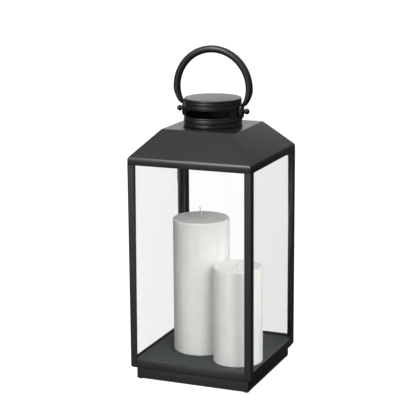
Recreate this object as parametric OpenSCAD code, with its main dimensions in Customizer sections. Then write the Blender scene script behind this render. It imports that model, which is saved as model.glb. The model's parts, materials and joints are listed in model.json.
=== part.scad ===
// Square candle lantern: an angle-post frame with three fixed panes, a glazed door at the back,
// a folded roof with a vented chimney, and a ring handle that swings on two ball-headed pins.
// Millimetres. +Z is up, the front faces -Y, and the origin is under the middle of the plinth.

/* [Frame] */
// Outer width and depth of the square frame
body_side = 180; // [165:1:240]
// Length of the corner posts, from the top of the plinth to the eave
post_length = 289.5; // [240:0.5:420]
// Width of each flange of the angle posts
post_flange = 10; // [9:0.5:14]
// Sheet thickness of the posts and the bottom rails
frame_sheet = 1.2; // [1:0.1:1.6]
// Height of the bottom rails
rail_height = 13; // [11:0.5:20]
// Radius on the lower outer corner of each post
post_foot_radius = 2; // [1:0.5:4]

/* [Plinth and floor] */
// Height of the plinth above the table, with its pads
plinth_height = 17.5; // [12:0.5:30]
// How far the plinth's walls stand back from the frame
plinth_inset = 6.5; // [3:0.5:8.5]
// Sheet thickness of the plinth
plinth_sheet = 1.2; // [1:0.1:2]
// Width of the lips folded inwards at the plinth's top and bottom
plinth_lip = 9; // [8:0.5:14]
// Diameter of the felt pads
pad_diameter = 8; // [6:0.5:9]
// Thickness of the felt pads
pad_thickness = 1; // [0.5:0.1:2]
// How far the floor lies below the top of the bottom rails
floor_drop = 2; // [1:0.5:4]
// Sheet thickness of the floor tray
floor_sheet = 1; // [0.8:0.1:2]

/* [Roof] */
// Height of the upright skirt at the eave
skirt_height = 9.4; // [8:0.2:16]
// Rise of the slopes, from the skirt to the flat top
roof_rise = 36.6; // [20:0.2:60]
// Side of the flat top
plateau_side = 108; // [104:1:130]
// Sheet thickness of the roof
roof_sheet = 1; // [0.8:0.1:1.4]
// Radius of the bends at the eave and round the flat top
roof_bend_radius = 3; // [2:0.5:6]

/* [Chimney] */
// Outer radius of the chimney's neck
neck_radius = 38.8; // [32:0.1:47]
// Sheet thickness of the neck
neck_sheet = 1; // [0.8:0.1:2]
// How far the lower collar stands out from the neck
collar_proud = 1.7; // [1.2:0.1:3]
// Height of the lower collar
collar_height = 14; // [10:0.5:20]
// Height of the vent windows between the collar and the cap
vent_height = 10.3; // [6:0.1:16]
// Half the angle of the solid wall left at each handle pin
vent_web_angle = 32; // [15:1:60]
// How far the cap band stands out from the neck
cap_proud = 1; // [0.8:0.1:1.2]
// Height of the cap band
cap_height = 13.1; // [8:0.1:20]
// Thickness of the lid disc
lid_thickness = 1; // [0.8:0.1:2]
// Radius on the rim of the lid disc
lid_rim_radius = 0.6; // [0.3:0.1:0.7]

/* [Ring handle] */
// Height of the handle's pivot above the flat top of the roof
pivot_rise = 21.3; // [18:0.1:24]
// Diameter of the ring's round bar
ring_bar_diameter = 10; // [7:0.5:12]
// How far the middle of the bar swells out beyond the middle of the eyes
ring_swell = 10.9; // [9:0.1:16]
// Height of the ring's centre above the pivot
ring_rise = 30.2; // [28:0.1:45]
// Width of each flattened eye
eye_width = 14; // [12:0.5:16]
// Height of each flattened eye
eye_height = 20.6; // [19:0.2:24]
// Thickness of each flattened eye
eye_thickness = 2.6; // [2:0.1:4]
// Diameter of the pivot pin's shank
pin_diameter = 5; // [4:0.1:6]
// Diameter of the pin's ball head
ball_diameter = 8; // [7:0.2:10]
// How far the ball heads stand out from the eyes
pin_reach = 9.9; // [8:0.1:14]

/* [Glass] */
// Thickness of the panes
glass_thickness = 2; // [1.6:0.1:3]
// How far each fixed pane runs behind the post flanges
glass_cover = 4.5; // [3:0.5:6]
// How far the fixed panes run up behind the roof skirt
glass_head = 4; // [2:0.5:5]
// Sheet thickness of the clips that hold the panes
clip_sheet = 0.8; // [0.6:0.1:1]
// Height of the clips
clip_height = 10; // [6:1:16]

/* [Door] */
// Width of the door frame's bars
door_bar = 11; // [10:0.5:14]
// Depth of the door frame
door_depth = 5; // [4.5:0.1:8]
// Sheet thickness of the door frame
door_sheet = 1; // [0.8:0.1:1.4]
// How far the door's upright edges lie inside the frame's sides
door_side_reveal = 2; // [1.5:0.5:4]
// How far the door laps over the roof skirt
door_head_lap = 2; // [1:0.5:3]
// Diameter of the door knob's ball
knob_diameter = 7.2; // [6:0.2:12]
// Height of the door knob above the table
knob_z = 162; // [100:1:220]

/* [Hinges and turn button] */
// Height of each hinge
hinge_height = 28; // [20:1:40]
// Thickness of the hinge leaves
leaf_thickness = 1; // [0.8:0.1:1.4]
// Width of the leaf plates
leaf_width = 9; // [6:0.5:10]
// Outer radius of the hinge knuckles
knuckle_radius = 2; // [1.8:0.1:2.4]
// Radius of the hinge pins
hinge_pin_radius = 1; // [0.8:0.1:1.2]
// Distance from the hinges' middle to the door's ends
hinge_end_distance = 45; // [25:1:80]
// Width of the turn button
button_width = 5; // [4:0.5:6]
// Length of the turn button
button_length = 15; // [12:0.5:20]
// Thickness of the turn button
button_thickness = 1.5; // [1:0.1:3]

/* [Candles] */
// Diameter of the tall candle
tall_diameter = 80; // [60:1:82]
// Height of the tall candle
tall_height = 192; // [80:1:210]
// Diameter of the small candle
small_diameter = 68; // [50:1:70]
// Height of the small candle
small_height = 136; // [60:1:200]
// Diameter of the wicks
wick_diameter = 1.8; // [1.4:0.1:3]
// Height of the tall candle's wick
tall_wick = 16; // [6:1:20]
// Height of the small candle's wick
small_wick = 7; // [5:1:20]
// Radius on the candles' upper edge
wax_edge_radius = 2.5; // [1:0.5:6]

/* [Clearances] */
// Gap between the chimney's nested round parts
nest_gap = 0.1; // [0.05:0.05:0.3]
// Radial clearance of every pin in its bore
running_clearance = 0.05; // [0.02:0.01:0.1]
// Side gap between parts that turn past each other
side_gap = 0.3; // [0.2:0.1:0.6]
// Gap between the door and the frame behind it
door_gap = 0.3; // [0.2:0.1:0.8]
// Gap between the handle's eyes and the collar
handle_gap = 0.8; // [0.4:0.1:2]
// Gap between a pane's edge or face and the part beside it
glass_gap = 0.5; // [0.3:0.1:1]
// Gap between the two candles
candle_gap = 1; // [0.5:0.5:10]
// Gap between the small candle and the right pane
candle_side_gap = 3.5; // [1:0.5:30]
// Gap between the small candle and the front pane
candle_front_gap = 18.2; // [1:0.2:40]

/* [Hidden] */
$fn = 96;

// A cut or a bore starts and ends this far outside the solid
over = 1;
// Facets round hardware and round wicks
hardware_fn = 48;
wick_fn = 24;
// Colours
paint = [0.17, 0.17, 0.18];
floor_grey = [0.33, 0.35, 0.34];
clear_glass = [0.86, 0.92, 0.9, 0.35];
zinc = [0.55, 0.56, 0.58];
felt = [0.12, 0.12, 0.12];
wax = [0.95, 0.94, 0.9];
cotton = [0.86, 0.84, 0.78];

// Heights
half = body_side / 2;
rail_top_z = plinth_height + rail_height;
sill_z = plinth_height + frame_sheet;
floor_z = rail_top_z - floor_drop;
eave_z = plinth_height + post_length;
bend_z = eave_z + skirt_height;
plateau_z = bend_z + roof_rise;
collar_top_z = plateau_z + collar_height;
cap_z = collar_top_z + vent_height;
cap_top_z = cap_z + cap_height;
pivot_z = plateau_z + pivot_rise;

// Faces of the frame, counted from the middle
flange_inner = half - frame_sheet;
glass_inner = flange_inner - glass_thickness;
opening_half = half - post_flange;
pane_half = opening_half + glass_cover;
tray_half = glass_inner - glass_gap;
plinth_half = half - plinth_inset;
pad_margin = 0.5;
clip_margin = 2.3;
clip_steps = [0.08, 0.5, 0.92];

// The post's tongue stands inside the roof skirt, beside the edges of the panes
tongue_leg = half - roof_sheet - pane_half - glass_gap;
tongue_height = skirt_height - roof_bend_radius;

// Chimney and handle
collar_radius = neck_radius + collar_proud;
cap_radius = neck_radius + cap_proud;
neck_flange = 4;
collar_groove_share = 0.34;
cap_groove_share = 0.43;
bead_share = 0.6;
eye_inner = collar_radius + handle_gap;
eye_outer = eye_inner + eye_thickness;
ring_radius = (eye_inner + eye_outer) / 2 + ring_swell;
ring_centre_z = pivot_z + ring_rise;
ring_end_angle = 30;
ring_end_slope = 32;
ring_cut_share = 0.42;
eye_root_radius = ring_bar_diameter * 0.32;
eye_root_rise = 1.3;
pin_radius = pin_diameter / 2;
ball_radius = ball_diameter / 2;
spacer_radius = 4.5;
nut_height = 2.5;
nut_across_corners = 9;
pin_tail = 0.5;
pin_shoulder = 0.5;

// Door
door_half = half - door_side_reveal;
door_inner_y = half + door_gap;
door_outer_y = door_inner_y + door_depth;
door_low_z = rail_top_z - door_bar;
door_high_z = eave_z + door_head_lap;
door_glass_y = door_outer_y - door_sheet;
door_glass_half = door_half - door_sheet - glass_gap;
door_clip_steps = [0.2, 0.5, 0.8];
knob_radius = knob_diameter / 2;
knob_stem_radius = knob_radius * 0.56;
knob_stem_length = knob_radius * 1.2;
knob_foot_radius = knob_radius * 0.9;
knob_foot_height = 0.8;

// Hinge: its axis stands just outside the frame's rear left corner
hinge_axis_inset = 0.6;
hinge_axis_rise = 0.4;
hinge_x = -half - leaf_thickness + hinge_axis_inset;
hinge_y = door_outer_y + hinge_axis_rise;
knuckle_height = (hinge_height - 2 * side_gap) / 3;
upper_hinge_z = door_high_z - hinge_end_distance;
lower_hinge_z = door_low_z + hinge_end_distance;
hinge_pin_head = 0.8;
hinge_pin_head_radius = knuckle_radius - 0.2;

// Turn button, on the skirt above the door
button_z = (door_high_z + bend_z) / 2;
button_y = door_outer_y + side_gap;
button_screw_radius = 1.25;
screw_head_radius = button_width * 0.42;
screw_head_height = 1.2;
screw_end_radius = button_width * 0.4;
screw_end_height = 1;
screw_tail = 2;

// Candles
small_radius = small_diameter / 2;
tall_radius = tall_diameter / 2;
candle_angle = 26.2;
small_x = glass_inner - candle_side_gap - small_radius;
small_y = -(glass_inner - candle_front_gap - small_radius);
candle_pitch = tall_radius + small_radius + candle_gap;
tall_x = small_x - candle_pitch * cos(candle_angle);
tall_y = small_y + candle_pitch * sin(candle_angle);
wick_depth = 10;
wax_dish = 0.8;
wick_upright_share = 0.4;
wick_tip_share = 0.8;
tall_wick_lean = -8;
small_wick_lean = 10;

// ---- Helpers ----

function unit(v) = v / norm(v);

// Points of an arc of radius r that rounds the corner b between a and c
function fillet(a, b, c, r, steps = 6) =
    let (
        u = unit(a - b),
        v = unit(c - b),
        half_angle = acos(u * v) / 2,
        centre = b + unit(u + v) * r / sin(half_angle),
        from = b + u * r / tan(half_angle) - centre,
        to = b + v * r / tan(half_angle) - centre,
        start = atan2(from.y, from.x),
        turn = atan2(from.x * to.y - from.y * to.x, from * to)
    )
    [for (i = [0:steps]) centre + r * [cos(start + turn * i / steps), sin(start + turn * i / steps)]];

// A ring's section from r_in to r_out with both outer corners rounded
function bead(r_in, r_out, z_low, z_high, r) = concat(
    [[r_in, z_low]],
    fillet([r_in, z_low], [r_out, z_low], [r_out, z_high], r),
    fillet([r_out, z_low], [r_out, z_high], [r_in, z_high], r),
    [[r_in, z_high]]
);

// The front left corner's piece, mirrored to any corner
module at_corner(side_x, side_y) {
    mirror([side_x > 0 ? 1 : 0, 0, 0])
        mirror([0, side_y > 0 ? 1 : 0, 0])
            children();
}

// An upright angle whose outer corner is at (-reach, -reach)
module angle_bar(reach, leg, sheet, z_low, z_high) {
    translate([-reach, -reach, z_low]) {
        cube([leg, sheet, z_high - z_low]);
        cube([sheet, leg, z_high - z_low]);
    }
}

// A cylinder along X, from x_from to x_to, on the handle's pivot line
module pivot_rod(radius, x_from, x_to, sides = 96) {
    translate([x_from, 0, pivot_z])
        rotate([0, 90, 0])
            cylinder(r = radius, h = x_to - x_from, $fn = sides);
}

// ---- Plinth and floor ----

module base_plinth() {
    color(paint)
        difference() {
            translate([-plinth_half, -plinth_half, pad_thickness])
                cube([2 * plinth_half, 2 * plinth_half, plinth_height - pad_thickness]);
            // Space between the folded lips
            translate([
                -plinth_half + plinth_sheet, -plinth_half + plinth_sheet, pad_thickness + plinth_sheet
            ])
                cube([
                    2 * (plinth_half - plinth_sheet), 2 * (plinth_half - plinth_sheet),
                    plinth_height - pad_thickness - 2 * plinth_sheet
                ]);
            // Open middle
            translate([-plinth_half + plinth_lip, -plinth_half + plinth_lip, -over])
                cube([
                    2 * (plinth_half - plinth_lip), 2 * (plinth_half - plinth_lip),
                    plinth_height + 2 * over
                ]);
        }
}

module felt_pads() {
    pad_place = plinth_half - pad_diameter / 2 - pad_margin;
    color(felt)
        for (x = [-pad_place, pad_place], y = [-pad_place, pad_place])
            translate([x, y, 0])
                cylinder(d = pad_diameter, h = pad_thickness);
}

module floor_tray() {
    tray_depth = tray_half + flange_inner;
    color(floor_grey)
        difference() {
            translate([-tray_half, -tray_half, sill_z])
                cube([2 * tray_half, tray_depth, floor_z - sill_z]);
            translate([-tray_half + floor_sheet, -tray_half + floor_sheet, sill_z - over])
                cube([
                    2 * (tray_half - floor_sheet), tray_depth - 2 * floor_sheet,
                    floor_z - sill_z - floor_sheet + over
                ]);
        }
}

// ---- Frame ----

module bottom_rail(turn) {
    color(paint)
        rotate([0, 0, turn])
            translate([-opening_half, -half, plinth_height]) {
                cube([2 * opening_half, frame_sheet, rail_height]);
                cube([2 * opening_half, post_flange, frame_sheet]);
            }
}

// Cuts the lower outer corner of a post to a radius, seen along Y
module foot_corner_cut() {
    translate([0, half + over, 0])
        rotate([90, 0, 0])
            linear_extrude(2 * half + 2 * over)
                difference() {
                    translate([-half - over, plinth_height - over])
                        square(post_foot_radius + over);
                    translate([-half + post_foot_radius, plinth_height + post_foot_radius])
                        circle(post_foot_radius);
                }
}

module corner_post(side_x, side_y) {
    color(paint)
        at_corner(side_x, side_y)
            difference() {
                union() {
                    angle_bar(half, post_flange, frame_sheet, plinth_height, eave_z);
                    // Tongue behind the roof skirt
                    angle_bar(half - roof_sheet, tongue_leg, frame_sheet,
                              eave_z - tongue_height, eave_z + tongue_height);
                    // Foot tab that rests on the plinth
                    translate([-half, -half, plinth_height])
                        cube([post_flange, post_flange, frame_sheet]);
                }
                foot_corner_cut();
                mirror([1, -1, 0])
                    foot_corner_cut();
            }
}

// ---- Roof ----

// Outline of the roof's half section, moved inwards by a sheet's thickness
function roof_side(sheet, low_z) =
    let (
        lean = atan2(half - plateau_side / 2, roof_rise),
        bend_radius = roof_bend_radius - sheet,
        low = [half - sheet, low_z],
        bend = [half - sheet, bend_z - sheet * tan(lean / 2)],
        top = [plateau_side / 2 - sheet * tan((90 - lean) / 2), plateau_z - sheet],
        middle = [0, plateau_z - sheet]
    )
    concat([low], fillet(low, bend, top, bend_radius), fillet(bend, top, middle, bend_radius));

module roof_outline(sheet, low_z) {
    side = roof_side(sheet, low_z);
    count = len(side);
    polygon(concat(side, [for (i = [count - 1:-1:0]) [-side[i].x, side[i].y]]));
}

// The same outline seen from the front and from the side
module roof_block(sheet, low_z) {
    intersection() {
        translate([0, body_side, 0])
            rotate([90, 0, 0])
                linear_extrude(2 * body_side)
                    roof_outline(sheet, low_z);
        translate([-body_side, 0, 0])
            rotate([90, 0, 90])
                linear_extrude(2 * body_side)
                    roof_outline(sheet, low_z);
    }
}

module roof_shell() {
    color(paint)
        difference() {
            roof_block(0, eave_z);
            roof_block(roof_sheet, eave_z - over);
            translate([0, 0, plateau_z - roof_sheet - over])
                cylinder(r = neck_radius + nest_gap, h = roof_sheet + 2 * over);
            // Hole for the turn button's screw
            translate([0, half + over, button_z])
                rotate([90, 0, 0])
                    cylinder(r = button_screw_radius + running_clearance, h = roof_sheet + 2 * over);
        }
}

// ---- Chimney ----

module chimney_neck() {
    flange_z = plateau_z - roof_sheet - neck_sheet;
    color(paint)
        difference() {
            union() {
                translate([0, 0, flange_z])
                    cylinder(r = neck_radius, h = cap_top_z - neck_sheet - flange_z);
                // Flange that is rolled out under the roof's flat top
                translate([0, 0, flange_z])
                    cylinder(r = neck_radius + neck_flange, h = neck_sheet);
            }
            translate([0, 0, flange_z - over])
                cylinder(r = neck_radius - neck_sheet, h = cap_top_z);
            // Front and rear vent windows
            for (turn = [vent_web_angle, 180 + vent_web_angle])
                rotate([0, 0, turn])
                    translate([0, 0, collar_top_z])
                        rotate_extrude(angle = 180 - 2 * vent_web_angle)
                            translate([neck_radius - neck_sheet - over, 0])
                                square([neck_sheet + 2 * over, vent_height]);
            // Holes for the handle's pins
            pivot_rod(pin_radius + running_clearance, -neck_radius - over, neck_radius + over);
        }
}

module neck_collar() {
    groove_z = plateau_z + collar_height * collar_groove_share;
    bead_radius = collar_proud * bead_share;
    color(paint)
        rotate_extrude() {
            polygon(bead(neck_radius + nest_gap, collar_radius, plateau_z, groove_z, bead_radius));
            polygon(bead(neck_radius + nest_gap, collar_radius, groove_z, collar_top_z, bead_radius));
        }
}

module cap_band() {
    rim_z = cap_top_z - neck_sheet;
    groove_z = cap_z + cap_height * cap_groove_share;
    bead_radius = cap_proud * bead_share;
    color(paint)
        rotate_extrude() {
            polygon(bead(neck_radius + nest_gap, cap_radius, cap_z, groove_z, bead_radius));
            polygon(bead(neck_radius + nest_gap, cap_radius, groove_z, cap_top_z, bead_radius));
            // Lip that rests on the neck
            translate([neck_radius - 2 * neck_sheet, rim_z])
                square([2 * neck_sheet + 2 * nest_gap, neck_sheet]);
        }
}

module lid_disc() {
    lid_radius = neck_radius + cap_proud / 2;
    color(paint)
        translate([0, 0, cap_top_z])
            rotate_extrude()
                polygon(concat(
                    [[0, 0], [lid_radius, 0]],
                    fillet([lid_radius, 0], [lid_radius, lid_thickness], [0, lid_thickness],
                           lid_rim_radius),
                    [[0, lid_thickness]]
                ));
}

// ---- Ring handle ----

// Flattened eye on the right: two half-round ends, a straight middle and a root that runs into the bar
module ring_eye() {
    eye_radius = eye_width / 2;
    straight = eye_height / 2 - eye_radius;
    translate([eye_inner, 0, pivot_z])
        rotate([0, 90, 0])
            linear_extrude(eye_thickness) {
                for (end = [-straight, straight])
                    translate([end, 0])
                        circle(eye_radius);
                square([2 * straight, eye_width], center = true);
            }
    translate([eye_inner + eye_thickness / 2, 0, pivot_z + eye_height / 2 + eye_root_rise])
        rotate([0, 90, 0])
            cylinder(r = eye_root_radius, h = ring_swell - ring_bar_diameter / 4);
}

// The bar, cut obliquely where it is forged down into the eyes
module ring_bar() {
    cut_size = 4 * ring_bar_diameter;
    difference() {
        translate([0, 0, ring_centre_z])
            rotate([90, 0, 0])
                rotate([0, 0, -ring_end_angle])
                    rotate_extrude(angle = 180 + 2 * ring_end_angle)
                        translate([ring_radius, 0])
                            circle(d = ring_bar_diameter);
        for (side = [0, 1])
            mirror([side, 0, 0])
                translate([eye_inner, -cut_size / 2, pivot_z + eye_height * ring_cut_share])
                    rotate([0, -ring_end_slope, 0])
                        translate([-cut_size / 2, 0, -cut_size])
                            cube([2 * cut_size, cut_size, cut_size]);
    }
}

module ring_handle() {
    color(paint)
        difference() {
            union() {
                ring_bar();
                for (side = [0, 1])
                    mirror([side, 0, 0])
                        ring_eye();
            }
            pivot_rod(pin_radius + running_clearance, -eye_outer - over, -eye_inner + over);
            pivot_rod(pin_radius + running_clearance, eye_inner - over, eye_outer + over);
        }
}

module pivot_pin(side) {
    shoulder_x = eye_outer + nest_gap;
    ball_x = eye_outer + pin_reach - ball_radius;
    inner_x = neck_radius - neck_sheet - side_gap - nut_height - pin_tail;
    color(paint)
        mirror([side < 0 ? 1 : 0, 0, 0]) {
            pivot_rod(pin_radius, inner_x, ball_x);
            pivot_rod(pin_radius + pin_shoulder, shoulder_x, ball_x);
            translate([ball_x, 0, pivot_z])
                sphere(ball_radius);
        }
}

// Washers between the neck and the eyes, flattened on top where they pass under the cap band
module pivot_spacers() {
    color(paint)
        difference() {
            for (side = [0, 1])
                mirror([side, 0, 0])
                    difference() {
                        pivot_rod(spacer_radius, neck_radius, eye_inner - nest_gap);
                        pivot_rod(pin_radius + running_clearance, neck_radius - over, eye_inner + over);
                    }
            translate([0, 0, cap_z - nest_gap])
                cylinder(r = cap_radius + nest_gap, h = cap_height);
        }
}

// Nuts on the pins, inside the neck
module pivot_nuts() {
    nut_x = neck_radius - neck_sheet - side_gap - nut_height;
    color(zinc)
        for (side = [0, 1])
            mirror([side, 0, 0])
                difference() {
                    pivot_rod(nut_across_corners / 2, nut_x, nut_x + nut_height, sides = 6);
                    pivot_rod(pin_radius + running_clearance, nut_x - over, nut_x + nut_height + over);
                }
}

// ---- Glass ----

module side_pane(turn) {
    color(clear_glass)
        rotate([0, 0, turn])
            translate([-pane_half, -flange_inner, sill_z])
                cube([2 * pane_half, glass_thickness, eave_z + glass_head - sill_z]);
}

// Corner clips: a block in the post's corner, with a leg across the edge of each pane
module glass_clips() {
    leg_face = glass_inner - clip_sheet;
    leg_length = leg_face - opening_half - clip_margin;
    span = post_length - rail_height;
    color(paint)
        for (x = [-1, 1], y = [-1, 1], step = clip_steps)
            at_corner(x, y)
                translate([0, 0, rail_top_z + span * step - clip_height / 2]) {
                    translate([-flange_inner, -flange_inner, 0])
                        cube([flange_inner - leg_face, flange_inner - leg_face, clip_height]);
                    translate([-leg_face - clip_sheet, -glass_inner, 0])
                        cube([leg_length + clip_sheet, clip_sheet, clip_height]);
                    translate([-glass_inner, -leg_face - clip_sheet, 0])
                        cube([clip_sheet, leg_length + clip_sheet, clip_height]);
                }
}

// ---- Door ----

module door_box(half_width, z_low, z_high, y_low, y_high) {
    translate([-half_width, y_low, z_low])
        cube([2 * half_width, y_high - y_low, z_high - z_low]);
}

// The whole frame: a flat face with a return folded along its outer edge
module door_frame() {
    difference() {
        door_box(door_half, door_low_z, door_high_z, door_inner_y, door_outer_y);
        door_box(door_half - door_sheet, door_low_z + door_sheet, door_high_z - door_sheet,
                 door_inner_y - over, door_outer_y - door_sheet);
        door_box(door_half - door_bar, door_low_z + door_bar, door_high_z - door_bar,
                 door_inner_y - over, door_outer_y + over);
    }
}

// A part of the door frame, cut out along the mitres by an outline in X and Z
module door_part(outline) {
    color(paint)
        intersection() {
            door_frame();
            translate([0, door_outer_y + over, 0])
                rotate([90, 0, 0])
                    linear_extrude(door_depth + 2 * over)
                        polygon(outline);
        }
}

module door_stile(side) {
    door_part([
        [side * door_half, door_low_z], [side * door_half, door_high_z],
        [side * (door_half - door_bar), door_high_z - door_bar],
        [side * (door_half - door_bar), door_low_z + door_bar]
    ]);
}

module door_cross_rail(edge_z, inner_z) {
    door_part([
        [-door_half, edge_z], [door_half, edge_z],
        [door_half - door_bar, inner_z], [-door_half + door_bar, inner_z]
    ]);
}

module door_glass() {
    color(clear_glass)
        door_box(door_glass_half, door_low_z + door_sheet + glass_gap, door_high_z - door_sheet - glass_gap,
                 door_glass_y - glass_thickness, door_glass_y);
}

// Tabs on the door frame's returns, bent over the inner face of the glass
module door_clips() {
    tab = door_bar / 2;
    tab_y = door_glass_y - glass_thickness - clip_sheet;
    edge = door_half - door_sheet;
    span = door_high_z - door_low_z;
    color(paint) {
        for (side = [0, 1], step = door_clip_steps)
            mirror([side, 0, 0])
                translate([edge - tab, tab_y, door_low_z + span * step - clip_height / 2])
                    cube([tab, clip_sheet, clip_height]);
        for (z = [door_low_z + door_sheet, door_high_z - door_sheet - tab])
            translate([-clip_height / 2, tab_y, z])
                cube([clip_height, clip_sheet, tab]);
    }
}

module door_knob() {
    ball_place = knob_stem_length + knob_radius / 2;
    color(paint)
        translate([door_half - door_bar / 2, door_outer_y, knob_z])
            rotate([-90, 0, 0]) {
                cylinder(r = knob_foot_radius, h = knob_foot_height);
                cylinder(r = knob_stem_radius, h = ball_place);
                translate([0, 0, ball_place])
                    sphere(knob_radius);
            }
}

// ---- Hinges ----

// Knuckle number 0, 1 or 2 of a hinge that is centred on z
function knuckle_z(z, number) = z - hinge_height / 2 + number * (knuckle_height + side_gap);

module hinge_knuckle(z, number, radius, extra = 0) {
    translate([hinge_x, hinge_y, knuckle_z(z, number) - extra])
        cylinder(r = radius, h = knuckle_height + 2 * extra, $fn = hardware_fn);
}

module hinge_bore(z) {
    translate([hinge_x, hinge_y, z - hinge_height / 2 - over])
        cylinder(r = hinge_pin_radius + running_clearance, h = hinge_height + 2 * over, $fn = hardware_fn);
}

module hinge_post_leaf(z) {
    color(paint)
        difference() {
            union() {
                translate([-half - leaf_thickness, half - leaf_width, z - hinge_height / 2])
                    cube([leaf_thickness, hinge_y - half + leaf_width, hinge_height]);
                for (number = [0, 2])
                    hinge_knuckle(z, number, knuckle_radius);
            }
            hinge_knuckle(z, 1, knuckle_radius + side_gap, side_gap);
            hinge_bore(z);
        }
}

module hinge_door_leaf(z) {
    color(paint)
        difference() {
            union() {
                translate([hinge_x, door_outer_y, z - hinge_height / 2])
                    cube([-door_half - hinge_x + leaf_width, leaf_thickness, hinge_height]);
                hinge_knuckle(z, 1, knuckle_radius);
            }
            for (number = [0, 2])
                hinge_knuckle(z, number, knuckle_radius + side_gap, side_gap);
            hinge_bore(z);
        }
}

module hinge_pin(z) {
    low = z - hinge_height / 2;
    color(paint)
        translate([hinge_x, hinge_y, 0]) {
            translate([0, 0, low])
                cylinder(r = hinge_pin_radius, h = hinge_height, $fn = hardware_fn);
            for (end_z = [low - hinge_pin_head, low + hinge_height])
                translate([0, 0, end_z])
                    cylinder(r = hinge_pin_head_radius, h = hinge_pin_head, $fn = hardware_fn);
        }
}

// ---- Turn button ----

module turn_button() {
    end_radius = button_width / 2;
    reach = button_length - button_width;
    color(paint)
        translate([0, half, button_z])
            rotate([-90, 0, 0])
                difference() {
                    union() {
                        translate([0, 0, button_y - half])
                            linear_extrude(button_thickness) {
                                circle(end_radius);
                                translate([reach, 0])
                                    circle(end_radius);
                                translate([0, -end_radius])
                                    square([reach, button_width]);
                            }
                        // Boss that holds the button off the skirt
                        translate([0, 0, nest_gap])
                            cylinder(r = end_radius, h = button_y - half);
                    }
                    translate([0, 0, -over])
                        cylinder(r = button_screw_radius + running_clearance,
                                 h = button_y - half + 3 * over);
                }
}

module button_screw() {
    head_y = button_y + button_thickness + nest_gap;
    end_y = half - roof_sheet;
    color(zinc)
        translate([0, 0, button_z])
            rotate([-90, 0, 0]) {
                translate([0, 0, end_y - screw_tail])
                    cylinder(r = button_screw_radius, h = head_y - end_y + screw_tail);
                translate([0, 0, head_y])
                    cylinder(r1 = screw_head_radius, r2 = button_screw_radius, h = screw_head_height);
                // Riveted end inside the skirt
                translate([0, 0, end_y - screw_end_height])
                    cylinder(r = screw_end_radius, h = screw_end_height);
            }
}

// ---- Candles ----

module candle(x, y, radius, height) {
    foot_radius = wax_edge_radius / 2;
    color(wax)
        translate([x, y, floor_z])
            difference() {
                rotate_extrude()
                    polygon(concat(
                        [[0, 0]],
                        fillet([0, 0], [radius, 0], [radius, height], foot_radius),
                        fillet([radius, 0], [radius, height], [0, height - wax_dish], wax_edge_radius),
                        [[0, height - wax_dish]]
                    ));
                translate([0, 0, height - wick_depth])
                    cylinder(r = wick_diameter / 2 + running_clearance, h = wick_depth + over,
                             $fn = wick_fn);
            }
}

// A wick with an upright foot and a thinner tip that leans over
module wick(x, y, candle_height, length, lean) {
    radius = wick_diameter / 2;
    upright = wick_depth + length * wick_upright_share;
    color(cotton)
        translate([x, y, floor_z + candle_height - wick_depth]) {
            cylinder(r = radius, h = upright, $fn = wick_fn);
            translate([0, 0, upright - radius])
                rotate([0, lean, 0])
                    cylinder(r = radius * wick_tip_share, h = wick_depth + length - upright + radius,
                             $fn = wick_fn);
        }
}

// ---- Nodes ----

base_plinth();
felt_pads();
floor_tray();
bottom_rail(0);  // rail_front
bottom_rail(90);  // rail_right
bottom_rail(180);  // rail_back
bottom_rail(270);  // rail_left
corner_post(-1, -1);  // post_front_left
corner_post(1, -1);  // post_front_right
corner_post(-1, 1);  // post_back_left
corner_post(1, 1);  // post_back_right
roof_shell();
chimney_neck();
neck_collar();
cap_band();
lid_disc();
ring_handle();
pivot_pin(-1);  // pivot_pin_left
pivot_pin(1);  // pivot_pin_right
pivot_spacers();
pivot_nuts();
side_pane(0);  // glass_front
side_pane(90);  // glass_right
side_pane(270);  // glass_left
glass_clips();
door_stile(-1);  // door_stile_hinge
door_stile(1);  // door_stile_latch
door_cross_rail(door_high_z, door_high_z - door_bar);  // door_rail_top
door_cross_rail(door_low_z, door_low_z + door_bar);  // door_rail_bottom
door_glass();
door_clips();
door_knob();
hinge_post_leaf(upper_hinge_z);  // hinge_upper_post_leaf
hinge_door_leaf(upper_hinge_z);  // hinge_upper_door_leaf
hinge_pin(upper_hinge_z);  // hinge_upper_pin
hinge_post_leaf(lower_hinge_z);  // hinge_lower_post_leaf
hinge_door_leaf(lower_hinge_z);  // hinge_lower_door_leaf
hinge_pin(lower_hinge_z);  // hinge_lower_pin
turn_button();
button_screw();
candle(tall_x, tall_y, tall_radius, tall_height);  // candle_tall
candle(small_x, small_y, small_radius, small_height);  // candle_small
wick(tall_x, tall_y, tall_height, tall_wick, tall_wick_lean);  // wick_tall
wick(small_x, small_y, small_height, small_wick, small_wick_lean);  // wick_small
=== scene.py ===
# %% [markdown]
# # A square candle lantern
# The lantern is a black steel frame with clear panes, a folded roof, a vented chimney and a ring handle,
# with two wax candles inside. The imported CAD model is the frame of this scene: every piece made here goes
# where a CAD node says, and rides on the same moving body.

# %% Load the frame
import json
import math

import bmesh
import bpy
from mathutils import Matrix, Vector

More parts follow.
